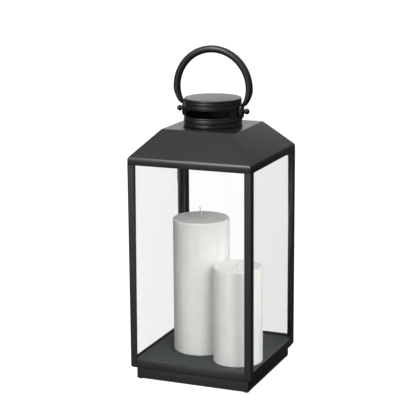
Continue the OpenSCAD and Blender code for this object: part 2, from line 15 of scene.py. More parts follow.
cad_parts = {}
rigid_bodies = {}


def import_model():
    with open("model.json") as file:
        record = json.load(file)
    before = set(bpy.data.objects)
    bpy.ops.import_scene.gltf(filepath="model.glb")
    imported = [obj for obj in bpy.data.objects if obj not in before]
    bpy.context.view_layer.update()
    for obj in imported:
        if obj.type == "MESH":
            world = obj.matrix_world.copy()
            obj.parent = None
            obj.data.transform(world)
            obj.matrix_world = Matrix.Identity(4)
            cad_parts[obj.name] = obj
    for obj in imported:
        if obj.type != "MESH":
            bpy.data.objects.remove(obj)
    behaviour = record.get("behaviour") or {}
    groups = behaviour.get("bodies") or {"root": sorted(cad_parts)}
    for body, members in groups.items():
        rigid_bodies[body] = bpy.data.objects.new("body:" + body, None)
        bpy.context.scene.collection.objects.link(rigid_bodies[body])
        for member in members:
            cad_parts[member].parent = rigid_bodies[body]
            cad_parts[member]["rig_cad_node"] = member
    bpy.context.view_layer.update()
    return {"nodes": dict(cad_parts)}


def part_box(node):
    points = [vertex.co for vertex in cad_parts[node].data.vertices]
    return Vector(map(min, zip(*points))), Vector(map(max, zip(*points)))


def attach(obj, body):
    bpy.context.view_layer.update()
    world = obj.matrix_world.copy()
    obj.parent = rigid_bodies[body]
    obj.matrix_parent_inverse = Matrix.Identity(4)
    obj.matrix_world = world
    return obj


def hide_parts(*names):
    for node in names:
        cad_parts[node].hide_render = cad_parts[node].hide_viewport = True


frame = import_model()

MM = 0.001

# %% [markdown]
# ## Camera
# A long lens from a little above keeps the upright posts nearly parallel. The camera is placed by the point
# it looks at, the angle round the lantern, the angle above the floor and a distance, as a tripod would be.

# %% Camera
LOOK_AT = Vector((-4.57, -1.87, 231.95)) * MM
AZIMUTH, ELEVATION, ROLL = math.radians(22.202), math.radians(13.186), math.radians(-0.350)
DISTANCE = 1959 * MM
SENSOR, LENS = 36.0, 119.64
CLIP_START, CLIP_END = 0.05, 60

back = Vector((
    math.sin(AZIMUTH) * math.cos(ELEVATION), -math.cos(AZIMUTH) * math.cos(ELEVATION), math.sin(ELEVATION)
))
level = Vector((math.cos(AZIMUTH), math.sin(AZIMUTH), 0))
right = level * math.cos(ROLL) + back.cross(level) * math.sin(ROLL)
turned = Matrix((right, back.cross(right), back)).transposed().to_4x4()

camera_data = bpy.data.cameras.new("camera")
camera_data.lens, camera_data.sensor_width = LENS, SENSOR
camera_data.clip_start, camera_data.clip_end = CLIP_START, CLIP_END
camera = bpy.data.objects.new("camera", camera_data)
camera.matrix_world = Matrix.Translation(LOOK_AT + back * DISTANCE) @ turned
bpy.context.scene.collection.objects.link(camera)
bpy.context.scene.camera = camera
print("camera at", [round(c, 3) for c in camera.matrix_world.translation])

# %% [markdown]
# ## Floor and light
# Satin black metal has hardly any colour of its own: it shows as black or charcoal by what it mirrors. So the
# light is planned as reflections. The world is a soft tent of light, bright overhead and at the front left,
# and dark at the right. Lamps, the strongest at the right and overhead, light the white wax, which mirrors
# almost nothing.

# %% Floor
FLOOR_SIZE = 60
bpy.ops.object.select_all(action="DESELECT")
bpy.ops.mesh.primitive_plane_add(size=FLOOR_SIZE)
floor = bpy.context.object
floor.name = "floor"
floor.visible_glossy = floor.visible_diffuse = floor.visible_transmission = False


# %% A short way to build materials
def new_material(name):
    """A material with a Principled shader, and short ways to add and link its nodes."""
    material = bpy.data.materials.new(name)
    material.use_nodes = True
    nodes, links = material.node_tree.nodes, material.node_tree.links
    shader = nodes["Principled BSDF"]

    def add(kind, **values):
        node = nodes.new("ShaderNode" + kind)
        for key, value in values.items():
            if hasattr(node, key):
                setattr(node, key, value)
            else:
                node.inputs[key.replace("_", " ")].default_value = value
        return node

    return material, shader, add, links.new


def two_tones(add, link, source, dark, light, start=0.0, end=1.0):
    """The colour that a value from 0 to 1 gives between two tones."""
    ramp = add("ValToRGB")
    first, last = ramp.color_ramp.elements
    first.position, last.position = start, end
    first.color, last.color = (*dark, 1), (*light, 1)
    link(source, ramp.inputs["Fac"])
    return ramp.outputs["Color"]


def add_bumps(add, link, shader, source, strength, height):
    """Raises the skin by a value from 0 to 1; height is in mm."""
    bump = add("Bump", Strength=strength, Distance=height * MM)
    link(source, bump.inputs["Height"])
    link(bump.outputs["Normal"], shader.inputs["Normal"])


# %% Floor material
floor_finish, shader, add, link = new_material("pale_floor")
grain = add("TexNoise", Scale=40.0, Detail=3.0)
link(add("TexCoord").outputs["Object"], grain.inputs["Vector"])
link(two_tones(add, link, grain.outputs["Fac"], (0.34,) * 3, (0.37,) * 3), shader.inputs["Base Color"])
shader.inputs["Roughness"].default_value = 0.9
shader.inputs["Specular IOR Level"].default_value = 0.1
shader.inputs["Emission Color"].default_value = (1, 1, 1, 1)
shader.inputs["Emission Strength"].default_value = 0.92
floor.data.materials.append(floor_finish)

# %% Tent of light
# Each soft patch is a direction, how wide it spreads (a cosine's power) and how bright it is
PATCHES = [
    ((-0.26, -0.72, 0.64), 50.0, 18.0),
    ((-0.34, -0.90, 0.27), 14.0, 2.1),
    ((-0.25, -0.95, -0.10), 3.0, 0.22),
    ((0.0, 0.0, 1.0), 1.2, 0.85),
    ((-0.45, 0.86, 0.24), 9.0, 1.0),
    ((-0.35, -0.85, -0.40), 3.0, 0.22),
]
AMBIENT = 0.02
MATT_SHARE = 0.3
BACKDROP = 1.06

world = bpy.data.worlds.new("tent")
world.use_nodes = True
world.cycles.sampling_method = "NONE"
bpy.context.scene.world = world
sky_nodes, sky_links = world.node_tree.nodes, world.node_tree.links


def sky_math(operation, first, second):
    """A math node of the world; first and second are outputs or plain numbers."""
    node = sky_nodes.new("ShaderNodeMath")
    node.operation = operation
    for socket, value in zip(node.inputs, (first, second)):
        if isinstance(value, float):
            socket.default_value = value
        else:
            sky_links.new(value, socket)
    return node.outputs[0]


direction = sky_nodes.new("ShaderNodeTexCoord").outputs["Generated"]
total = AMBIENT
for toward, power, strength in PATCHES:
    facing = sky_nodes.new("ShaderNodeVectorMath")
    facing.operation = "DOT_PRODUCT"
    facing.inputs[1].default_value = Vector(toward).normalized()
    sky_links.new(direction, facing.inputs[0])
    spread = sky_math("POWER", sky_math("MAXIMUM", facing.outputs["Value"], 0.0), power)
    total = sky_math("ADD", sky_math("MULTIPLY", spread, strength), total)

# %% What is seen past the lantern
# What the eye sees past the lantern, also through its panes, is plain white. The tent itself only lights
# the lantern and is mirrored in it.
path = sky_nodes.new("ShaderNodeLightPath")
bounces = sky_math("ADD", path.outputs["Glossy Depth"], path.outputs["Diffuse Depth"])
straight = sky_math("LESS_THAN", bounces, 0.5)
through_glass = sky_math("MULTIPLY", path.outputs["Is Transmission Ray"], straight)
seen = sky_math("MAXIMUM", path.outputs["Is Camera Ray"], through_glass)
# White wax must not be flooded by it, so matt surfaces get only a share of the tent's light
matt = sky_math("MINIMUM", path.outputs["Diffuse Depth"], 1.0)
dimmer = sky_math("MULTIPLY", matt, 1 - MATT_SHARE)
total = sky_math("MULTIPLY", total, sky_math("SUBTRACT", 1.0, dimmer))
choice = sky_nodes.new("ShaderNodeMix")
sky_links.new(seen, choice.inputs["Factor"])
sky_links.new(total, choice.inputs["A"])
choice.inputs["B"].default_value = BACKDROP
sky_nodes["Background"].inputs["Color"].default_value = (1, 1, 1, 1)
sky_links.new(choice.outputs["Result"], sky_nodes["Background"].inputs["Strength"])


# %% Lamps
def softbox(name, place, aim, width, height, power, spread=180):
    """A rectangular lamp at place, turned towards aim. A small spread makes it a beam."""
    data = bpy.data.lights.new(name, "AREA")
    data.shape, data.size, data.size_y, data.energy = "RECTANGLE", width, height, power
    data.spread = math.radians(spread)
    lamp = bpy.data.objects.new(name, data)
    lamp.location = place
    lamp.rotation_euler = (Vector(aim) - Vector(place)).to_track_quat("-Z", "Y").to_euler()
    lamp.visible_camera = lamp.visible_glossy = False
    bpy.context.scene.collection.objects.link(lamp)


CENTRE = (0, 0, 0.18)
softbox("key_right", (1.5, -0.8, 1.4), CENTRE, 1.6, 1.6, 24)
softbox("key_front", (0.45, -1.7, 1.3), CENTRE, 1.6, 1.6, 9)
softbox("back_right", (1.4, 1.1, 1.0), CENTRE, 1.0, 1.0, 4)
softbox("low_right", (1.0, -0.95, 0.16), (0.049, -0.035, 0.07), 0.3, 0.3, 0.16, 30)
softbox("top", (0.2, -0.1, 2.4), CENTRE, 1.6, 1.6, 18)
softbox("fill_left", (-1.6, -1.3, 0.8), CENTRE, 1.2, 1.2, 0.6)
bpy.context.scene.view_settings.view_transform = "Standard"


# %% [markdown]
# ## Tools used on every piece
# Each piece starts as a primitive at its size and place. It is then shaped in edit mode, where faces and
# edges are picked by where they lie, and finished with modifiers that are applied at once.

# %% Tools
def begin(obj):
    """Leaves only obj selected, and active."""
    if bpy.context.object is not None and bpy.context.object.mode != "OBJECT":
        bpy.ops.object.mode_set(mode="OBJECT")
    bpy.ops.object.select_all(action="DESELECT")
    obj.select_set(True)
    bpy.context.view_layer.objects.active = obj


def edit(obj, kind="FACE"):
    """Opens obj in edit mode with nothing selected."""
    begin(obj)
    bpy.ops.object.mode_set(mode="EDIT")
    bpy.ops.mesh.select_mode(type=kind)
    bpy.ops.mesh.select_all(action="DESELECT")


def done():
    bpy.ops.object.mode_set(mode="OBJECT")


def pick(obj, kind, test):
    """Selects the vertices, edges or faces whose corners all pass the test; test gets each corner in mm."""
    bpy.ops.mesh.select_mode(type=kind)
    bpy.ops.mesh.select_all(action="DESELECT")
    mesh = bmesh.from_edit_mesh(obj.data)
    for item in {"VERT": mesh.verts, "EDGE": mesh.edges, "FACE": mesh.faces}[kind]:
        corners = [item] if kind == "VERT" else item.verts
        item.select_set(all(test(v.co / MM) for v in corners))
    bmesh.update_edit_mesh(obj.data)


def remove_faces(obj, *tests):
    """Deletes the faces that pass any of the tests."""
    for test in tests:
        pick(obj, "FACE", test)
        bpy.ops.mesh.delete(type="FACE")


def rim(obj, test=lambda p: True):
    """Selects the open edges of a sheet whose ends pass the test."""
    bpy.ops.mesh.select_mode(type="EDGE")
    bpy.ops.mesh.select_all(action="DESELECT")
    mesh = bmesh.from_edit_mesh(obj.data)
    for edge in mesh.edges:
        edge.select_set(edge.is_boundary and all(test(v.co / MM) for v in edge.verts))
    bmesh.update_edit_mesh(obj.data)


def finish_with(obj, kind, **settings):
    """Adds a modifier and applies it."""
    begin(obj)
    modifier = obj.modifiers.new(kind.lower(), kind)
    for key, value in settings.items():
        setattr(modifier, key, value)
    bpy.ops.object.modifier_apply(modifier=modifier.name)


def soften(obj, width, segments=3, angle=30):
    """Rounds every edge that turns by more than the angle."""
    angle = math.radians(angle)
    finish_with(obj, "BEVEL", width=width * MM, segments=segments, limit_method="ANGLE", angle_limit=angle)


def bend(obj, test, width, segments):
    """Rounds the edges whose ends pass the test, while obj is being edited."""
    pick(obj, "EDGE", test)
    bpy.ops.mesh.bevel(offset=width * MM, segments=segments, affect="EDGES")


def thicken(obj, sheet):
    """Gives a surface the thickness of its sheet, inwards."""
    finish_with(obj, "SOLIDIFY", thickness=sheet * MM, offset=-1.0, use_even_offset=True)


def smooth(obj, angle=32):
    begin(obj)
    bpy.ops.object.shade_smooth_by_angle(angle=math.radians(angle))


def block(name, low, high):
    """A cube primitive that fills the box from low to high, in mm."""
    bpy.ops.object.select_all(action="DESELECT")
    low, high = Vector(low) * MM, Vector(high) * MM
    bpy.ops.mesh.primitive_cube_add(size=1, location=(low + high) / 2, scale=high - low)
    obj = bpy.context.object
    obj.name = obj.data.name = name
    bpy.ops.object.transform_apply(location=True, rotation=True, scale=True)
    return obj


def lathe(name, profile, steps=144, closed=False, turn=2 * math.pi, centre=(0, 0)):
    """Spins a profile of (radius, height) points, in mm, about an upright line."""
    bpy.ops.object.select_all(action="DESELECT")
    bpy.ops.mesh.primitive_circle_add(vertices=len(profile), radius=0.01)
    obj = bpy.context.object
    obj.name = obj.data.name = name
    edit(obj, "VERT")
    mesh = bmesh.from_edit_mesh(obj.data)
    mesh.verts.ensure_lookup_table()
    for vertex, (radius, height) in zip(mesh.verts, profile):
        vertex.co = Vector((centre[0] + radius, centre[1], height)) * MM
    if not closed:
        last = next(e for e in mesh.edges if {v.index for v in e.verts} == {0, len(profile) - 1})
        mesh.edges.remove(last)
    bmesh.update_edit_mesh(obj.data)
    bpy.ops.mesh.select_all(action="SELECT")
    bpy.ops.mesh.spin(
        steps=steps, angle=turn, center=(centre[0] * MM, centre[1] * MM, 0), axis=(0, 0, 1)
    )
    bpy.ops.mesh.select_all(action="SELECT")
    bpy.ops.mesh.remove_doubles(threshold=0.002 * MM)
    if turn < 2 * math.pi:
        rim(obj)
        bpy.ops.mesh.edge_face_add()
        bpy.ops.mesh.select_all(action="SELECT")
    bpy.ops.mesh.normals_make_consistent(inside=False)
    done()
    return obj


def cut(obj, tool, operation="DIFFERENCE"):
    """Cuts obj with a tool, or joins the tool to it, and removes the tool."""
    finish_with(obj, "BOOLEAN", object=tool, operation=operation, solver="EXACT")
    bpy.data.objects.remove(tool)


def place(obj, body, slot, material, *nodes):
    """Gives a finished piece its material and its body, and hides the CAD nodes that it stands for. The slot
    is not used.
    """
    obj.data.materials.clear()
    obj.data.materials.append(material)
    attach(obj, body)
    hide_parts(*nodes)
    print(obj.name, len(obj.data.polygons), "faces")


def node_box(node):
    """A CAD node's box in mm."""
    low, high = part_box(node)
    return low / MM, high / MM


# %% [markdown]
# ## Black paint
# The frame is sprayed steel: a charcoal black with a satin sheen. Sprayed paint is never quite even, so a
# broad noise shifts its tone and its gloss a little, and a fine noise gives the faint orange peel of paint.

# %% Black paint
def paint_finish(name, dark, light, gloss, peel):
    """Sprayed paint: two tones, two roughness values and the height of the orange peel in mm."""
    material, shader, add, link = new_material(name)
    where = add("TexCoord").outputs["Object"]
    cloud = add("TexNoise", Scale=22.0, Detail=4.0, Roughness=0.55)
    link(where, cloud.inputs["Vector"])
    link(two_tones(add, link, cloud.outputs["Fac"], dark, light, 0.3, 0.7), shader.inputs["Base Color"])
    sheen = add("MapRange", To_Min=gloss[0], To_Max=gloss[1])
    link(cloud.outputs["Fac"], sheen.inputs["Value"])
    link(sheen.outputs["Result"], shader.inputs["Roughness"])
    skin = add("TexNoise", Scale=1100.0, Detail=2.0)
    link(where, skin.inputs["Vector"])
    add_bumps(add, link, shader, skin.outputs["Fac"], 0.35, peel)
    return material


black_paint = paint_finish(
    "black_paint", (0.0075, 0.0075, 0.0083), (0.0110, 0.0110, 0.0118), (0.27, 0.37), 0.05
)
floor_paint = paint_finish(
    "floor_paint", (0.070, 0.078, 0.075), (0.085, 0.094, 0.090), (0.52, 0.66), 0.08
)
# The floor is matt: without this it would mirror the bright tent at a grazing angle
floor_paint.node_tree.nodes["Principled BSDF"].inputs["Specular IOR Level"].default_value = 0.01

# %% [markdown]
# ## Glass
# Thin float glass hardly bends what is seen through it. Lamps must reach the candles through it, so rays that
# look for a lamp meet a clear tint in place of the glass.

# %% Glass
clear_glass, shader, add, link = new_material("clear_glass")
shader.inputs["Base Color"].default_value = (0.965, 0.968, 0.965, 1)
shader.inputs["Transmission Weight"].default_value = 1.0
shader.inputs["IOR"].default_value = 1.2
smear = add("TexNoise", Scale=14.0, Detail=3.0)
link(add("TexCoord").outputs["Object"], smear.inputs["Vector"])
haze = add("MapRange", From_Min=0.45, From_Max=0.8, To_Min=0.0, To_Max=0.03)
link(smear.outputs["Fac"], haze.inputs["Value"])
link(haze.outputs["Result"], shader.inputs["Roughness"])
tint = add("BsdfTransparent", Color=(0.96, 0.97, 0.965, 1))
swap = add("MixShader")
link(add("LightPath").outputs["Is Shadow Ray"], swap.inputs["Fac"])
link(shader.outputs["BSDF"], swap.inputs[1])
link(tint.outputs["BSDF"], swap.inputs[2])
link(swap.outputs["Shader"], clear_glass.node_tree.nodes["Material Output"].inputs["Surface"])

# %% [markdown]
# ## Wax and wick
# Light goes a few millimetres into wax and comes out again, which softens every shadow on it. That is
# subsurface scattering. The skin has a faint mottle from cooling.

# %% Wax
wax, shader, add, link = new_material("wax")
where = add("TexCoord").outputs["Object"]
mottle = add("TexNoise", Scale=55.0, Detail=5.0, Roughness=0.6)
link(where, mottle.inputs["Vector"])
tone = two_tones(add, link, mottle.outputs["Fac"], (0.845, 0.835, 0.805), (0.885, 0.880, 0.860), 0.3, 0.75)
link(tone, shader.inputs["Base Color"])
shader.inputs["Subsurface Weight"].default_value = 0.3
shader.inputs["Subsurface Radius"].default_value = (1.0, 0.75, 0.5)
shader.inputs["Subsurface Scale"].default_value = 0.006
sheen = add("MapRange", To_Min=0.42, To_Max=0.58)
link(mottle.outputs["Fac"], sheen.inputs["Value"])
link(sheen.outputs["Result"], shader.inputs["Roughness"])
skin = add("TexNoise", Scale=260.0, Detail=3.0)
link(where, skin.inputs["Vector"])
add_bumps(add, link, shader, skin.outputs["Fac"], 0.3, 0.15)

# %% Cotton, felt and zinc
cotton, shader, add, link = new_material("cotton")
where = add("TexCoord").outputs["Object"]
braid = add("TexWave", Scale=480.0, Distortion=1.5, Detail=1.0, bands_direction="DIAGONAL")
link(where, braid.inputs["Vector"])
tone = two_tones(add, link, braid.outputs["Fac"], (0.52, 0.50, 0.45), (0.80, 0.78, 0.72))
link(tone, shader.inputs["Base Color"])
shader.inputs["Roughness"].default_value = 0.75
add_bumps(add, link, shader, braid.outputs["Fac"], 0.6, 0.15)

felt, shader, add, link = new_material("felt")
fibre = add("TexNoise", Scale=1400.0, Detail=6.0, Roughness=0.7)
link(add("TexCoord").outputs["Object"], fibre.inputs["Vector"])
tone = two_tones(add, link, fibre.outputs["Fac"], (0.008, 0.008, 0.009), (0.035, 0.035, 0.037))
link(tone, shader.inputs["Base Color"])
shader.inputs["Roughness"].default_value = 0.95
add_bumps(add, link, shader, fibre.outputs["Fac"], 0.8, 0.2)

zinc, shader, add, link = new_material("zinc")
brushed = add("TexNoise", Scale=300.0, Detail=4.0)
stretch = add("Mapping")
stretch.inputs["Scale"].default_value = (1.0, 6.0, 1.0)
link(add("TexCoord").outputs["Object"], stretch.inputs["Vector"])
link(stretch.outputs["Vector"], brushed.inputs["Vector"])
tone = two_tones(add, link, brushed.outputs["Fac"], (0.36, 0.37, 0.39), (0.55, 0.56, 0.58))
link(tone, shader.inputs["Base Color"])
shader.inputs["Metallic"].default_value = 1.0
sheen = add("MapRange", To_Min=0.3, To_Max=0.5)
link(brushed.outputs["Fac"], sheen.inputs["Value"])
link(sheen.outputs["Result"], shader.inputs["Roughness"])

# %% [markdown]
# ## Plinth
# The plinth is a band of sheet folded into a square, with a lip turned inwards at its top and its bottom. A
# block without its top and bottom is the band; its open edges are extruded and drawn in to make the lips.

# %% Plinth
SHEET = 1.2
THIN_SHEET = 1.0
# A corner this close to a plane, in mm, lies on it
NEAR = 0.1
low, high = node_box("base_plinth")
LIP = 9.0
plinth = block("plinth", low, high)
edit(plinth)
remove_faces(plinth, lambda p: p.z > high.z - NEAR, lambda p: p.z < low.z + NEAR)
for level_z in (low.z, high.z):
    rim(plinth, lambda p: abs(p.z - level_z) < NEAR)
    bpy.ops.mesh.extrude_region_move()
    shrink = (1 - LIP / high.x, 1 - LIP / high.y, 1)
    bpy.ops.transform.resize(value=shrink, center_override=(0, 0, level_z * MM))
bpy.ops.mesh.select_all(action="SELECT")
bpy.ops.mesh.normals_make_consistent(inside=False)
done()
soften(plinth, 0.5, 4)
thicken(plinth, SHEET)
soften(plinth, 0.15, 2, 50)
smooth(plinth)
place(plinth, "lantern", "black_paint", black_paint, "base_plinth")

# %% [markdown]
# ## Bottom rails
# Each rail is an angle: an upright face, and a flange folded in under the floor. One is modelled and three
# are copied from it and turned by a quarter each.

# %% Rails
low, high = node_box("rail_front")
rail = block("rail_front_sheet", low, high)
edit(rail)
remove_faces(rail, lambda p: p.z > high.z - NEAR, lambda p: p.y > high.y - NEAR)
remove_faces(rail, lambda p: abs(p.x - low.x) < NEAR, lambda p: abs(p.x - high.x) < NEAR)
done()
soften(rail, 1.5, 4)
thicken(rail, SHEET)
soften(rail, 0.18, 2, 50)
smooth(rail)


def turned_copy(obj, name, quarter_turns):
    """A copy with its own mesh, turned about the lantern's middle."""
    copy = obj.copy()
    copy.data = obj.data.copy()
    copy.name = copy.data.name = name
    bpy.context.scene.collection.objects.link(copy)
    copy.rotation_euler = (0, 0, quarter_turns * math.pi / 2)
    begin(copy)
    bpy.ops.object.transform_apply(location=True, rotation=True, scale=True)
    return copy


for number, side in enumerate(("front", "right", "back", "left")):
    piece = turned_copy(rail, f"rail_{side}_sheet", number) if number else rail
    place(piece, "lantern", "black_paint", black_paint, f"rail_{side}")

# %% [markdown]
# ## Corner posts
# A post is one strip of sheet folded into an angle, with its foot folded over and its three folds rounded
# where they meet. A block that keeps only its two outer sides and its bottom is that shape. At the top a
# narrower tongue runs up behind the roof's skirt.

# %% Posts
low, high = node_box("post_front_left")
EAVE = node_box("roof_shell")[0].z
FLANGE = high.x - low.x
TONGUE = 4.0
FOOT_RADIUS = 3.0
STEP_IN = 1.05
post = block("post_front_left_sheet", low, (high.x, high.y, EAVE))
edit(post)
remove_faces(
    post, lambda p: p.z > EAVE - NEAR, lambda p: p.x > high.x - NEAR, lambda p: p.y > high.y - NEAR
)
pick(post, "EDGE", lambda p: p.z < low.z + NEAR)
mesh = bmesh.from_edit_mesh(post.data)
for edge in mesh.edges:
    if edge.is_boundary:
        edge.select_set(False)
bpy.ops.mesh.bevel(offset=FOOT_RADIUS * MM, segments=6, affect="EDGES")
done()
soften(post, 1.2, 4, 40)
edit(post)
rim(post, lambda p: p.z > EAVE - NEAR)
bpy.ops.mesh.extrude_region_move(TRANSFORM_OT_translate={"value": (STEP_IN * MM, STEP_IN * MM, 0)})
bpy.ops.mesh.extrude_region_move(TRANSFORM_OT_translate={"value": (0, 0, (high.z - EAVE) * MM)})
pick(post, "VERT", lambda p: p.z > EAVE - NEAR and p.x > high.x + 0.5)
bpy.ops.transform.translate(value=(-(FLANGE - TONGUE) * MM, 0, 0))
pick(post, "VERT", lambda p: p.z > EAVE - NEAR and p.y > high.y + 0.5)
bpy.ops.transform.translate(value=(0, -(FLANGE - TONGUE) * MM, 0))
done()
thicken(post, SHEET)
soften(post, 0.18, 2, 60)
smooth(post)
for number, corner in enumerate(("front_left", "front_right", "back_right", "back_left")):
    piece = turned_copy(post, f"post_{corner}_sheet", number) if number else post
    place(piece, "lantern", "black_paint", black_paint, f"post_{corner}")

# %% [markdown]
# ## Floor
# The candles stand on a tray with its edges folded down, painted a paler grey than the frame.

# %% Floor tray
low, high = node_box("floor_tray")
tray = block("tray", low, high)
edit(tray)
remove_faces(tray, lambda p: p.z < low.z + NEAR)
done()
soften(tray, 1.3, 4)
thicken(tray, THIN_SHEET)
smooth(tray)
place(tray, "lantern", "floor_paint", floor_paint, "floor_tray")

# %% [markdown]
# ## Roof
# The roof is one sheet pressed over a former. A block has its top drawn in for the slopes, and its open
# bottom edge is extruded down for the skirt. Its corners are rounded less than the long bend over the eave,
# so that they meet the corners of the posts.

# %% Roof
low, high = node_box("roof_shell")
PLATEAU = 54.0
BEND_Z = 316.4
HOLE_RADIUS = 38.9
CORNER_BEND, EAVE_BEND, TOP_BEND = 1.4, 3.0, 1.3
roof = block("roof", (low.x, low.y, BEND_Z), (high.x, high.y, high.z))
edit(roof)
pick(roof, "FACE", lambda p: p.z > high.z - NEAR)
bpy.ops.transform.resize(value=(PLATEAU / high.x, PLATEAU / high.y, 1), center_override=(0, 0, high.z * MM))
pick(roof, "FACE", lambda p: p.z < BEND_Z + NEAR)
bpy.ops.mesh.delete(type="ONLY_FACE")
rim(roof)
bpy.ops.mesh.extrude_region_move(TRANSFORM_OT_translate={"value": (0, 0, (low.z - BEND_Z) * MM)})
for side_x, side_y in ((1, 1), (1, -1), (-1, 1), (-1, -1)):
    bend(roof, lambda p: p.x * side_x > 0 and p.y * side_y > 0, CORNER_BEND, 4)
bend(roof, lambda p: abs(p.z - BEND_Z) < NEAR, EAVE_BEND, 6)
bend(roof, lambda p: p.z > high.z - NEAR, TOP_BEND, 4)
done()
thicken(roof, THIN_SHEET)
hole = lathe(
    "hole",
    [(0, high.z - 13), (HOLE_RADIUS, high.z - 13), (HOLE_RADIUS, high.z + 7), (0, high.z + 7)]
)
cut(roof, hole)
soften(roof, 0.15, 2, 60)
smooth(roof, 30)
place(roof, "lantern", "black_paint", black_paint, "roof_shell")


# %% [markdown]
# ## Chimney
# Round parts are turned from a profile. The beads are rolled into the band, so each one is a soft bulge
# between two grooves, a little fuller than a half ellipse.

# %% Chimney profiles
# With 1 a bead is a half ellipse, and with less it is fuller
BEAD_SHAPE = 0.7


def bulge(groove, crest, z_low, z_high, steps=10):
    """Profile points of one bead, from its lower groove to its upper one."""
    middle, reach = (z_low + z_high) / 2, (z_high - z_low) / 2
    turns = [math.pi * i / steps for i in range(steps + 1)]
    return [
        (groove + (crest - groove) * math.sin(turn) ** BEAD_SHAPE, middle - reach * math.cos(turn))
        for turn in turns
    ]


NECK = 38.8
collar_low, collar_high = node_box("neck_collar")
cap_low, cap_high = node_box("cap_band")
lid_low, lid_high = node_box("lid_disc")
print("collar", collar_low.z, collar_high.z, "cap", cap_low.z, cap_high.z)

# %% Neck and collar
neck_low, neck_high = node_box("chimney_neck")
neck = lathe(
    "neck",
    [
        (NECK - 1, neck_low.z), (NECK + 4, neck_low.z), (NECK + 4, neck_low.z + 1), (NECK, neck_low.z + 1),
        (NECK, neck_high.z), (NECK - 1, neck_high.z)
    ],
    closed=True
)
# Half the angle of the wall left standing at each pin, between the front and the rear window
WEB = math.radians(32)
for turn in (-WEB, math.pi - WEB):
    window = lathe(
        "window",
        [(NECK - 3, collar_high.z), (NECK + 2, collar_high.z), (NECK + 2, cap_low.z), (NECK - 3, cap_low.z)],
        48, closed=True, turn=math.pi - 2 * WEB
    )
    window.rotation_euler = (0, 0, turn)
    begin(window)
    bpy.ops.object.transform_apply(location=True, rotation=True, scale=True)
    cut(neck, window)
soften(neck, 0.15, 2, 50)
# Any face without area is dissolved
edit(neck)
bpy.ops.mesh.select_all(action="SELECT")
bpy.ops.mesh.dissolve_degenerate(threshold=0.005 * MM)
done()
smooth(neck)
place(neck, "lantern", "black_paint", black_paint, "chimney_neck")

GROOVE = 39.2
collar_crest = collar_high.x
# The lower and upper height of each bead
COLLAR_BEADS = [(collar_low.z + 0.1, 357.7), (357.8, 364.4)]
collar = lathe(
    "collar",
    [(NECK + 0.1, collar_low.z), (collar_crest - 0.5, collar_low.z)]
    + bulge(GROOVE + 0.6, collar_crest, *COLLAR_BEADS[0])
    + bulge(GROOVE + 0.5, collar_crest, *COLLAR_BEADS[1])
    + [(collar_crest - 0.7, 364.9), (collar_crest - 0.5, 365.2), (collar_crest - 0.5, 366.7)]
    + [(collar_crest - 0.8, collar_high.z), (NECK + 0.1, collar_high.z)],
    closed=True
)
smooth(collar, 50)
place(collar, "lantern", "black_paint", black_paint, "neck_collar")

# %% Cap and lid
cap_crest = cap_high.x
CAP_BEADS = [(cap_low.z + 0.1, 382.9), (383.0, 387.9), (388.0, cap_high.z - 0.15)]
CAP_INSIDE = 36.8
cap = lathe(
    "cap",
    [(NECK + 0.1, cap_low.z), (cap_crest - 0.4, cap_low.z)]
    + bulge(GROOVE, cap_crest, *CAP_BEADS[0])
    + bulge(GROOVE, cap_crest, *CAP_BEADS[1])
    + bulge(GROOVE + 0.1, cap_crest, *CAP_BEADS[2], 8)
    + [(NECK, cap_high.z), (CAP_INSIDE, cap_high.z), (CAP_INSIDE, 389.4), (NECK + 0.1, 389.4)],
    closed=True
)
smooth(cap, 50)
place(cap, "lantern", "black_paint", black_paint, "cap_band")

lid = lathe("lid", [(0, lid_low.z), (lid_high.x, lid_low.z), (lid_high.x, lid_high.z), (0, lid_high.z)])
soften(lid, 0.45, 4, 40)
smooth(lid)
place(lid, "lantern", "black_paint", black_paint, "lid_disc")


# %% [markdown]
# ## Ring handle
# The handle is round bar bent into a ring and forged down at its two ends, where it is welded to an oval eye.
# A torus gives the bar. Its lower part is cut away, and each open end is extruded in steps that grow flatter.

# %% Ring handle
RING_RADIUS, RING_Z, BAR = 53.5, 404.5, 5.0
PIVOT_Z = 374.3
EYE_IN, EYE_OUT = 41.3, 43.9
bpy.ops.object.select_all(action="DESELECT")
bpy.ops.mesh.primitive_torus_add(
    major_radius=RING_RADIUS * MM, minor_radius=BAR * MM, major_segments=120, minor_segments=32,
    location=(0, 0, RING_Z * MM), rotation=(math.pi / 2, 0, 0)
)
ring = bpy.context.object
ring.name = ring.data.name = "ring"
bpy.ops.object.transform_apply(location=True, rotation=True, scale=True)
START = 3
edit(ring)
pick(ring, "FACE", lambda p: START - 180 - 0.5 < math.degrees(math.atan2(p.z - RING_Z, p.x)) < 0.5 - START)
bpy.ops.mesh.delete(type="FACE")


def ring_point(side, angle, radius):
    """A point of the ring's plane: an angle in degrees and a distance from the ring's middle, in mm."""
    angle = math.radians(angle)
    return Vector((side * radius * math.cos(angle), 0, RING_Z + radius * math.sin(angle)))


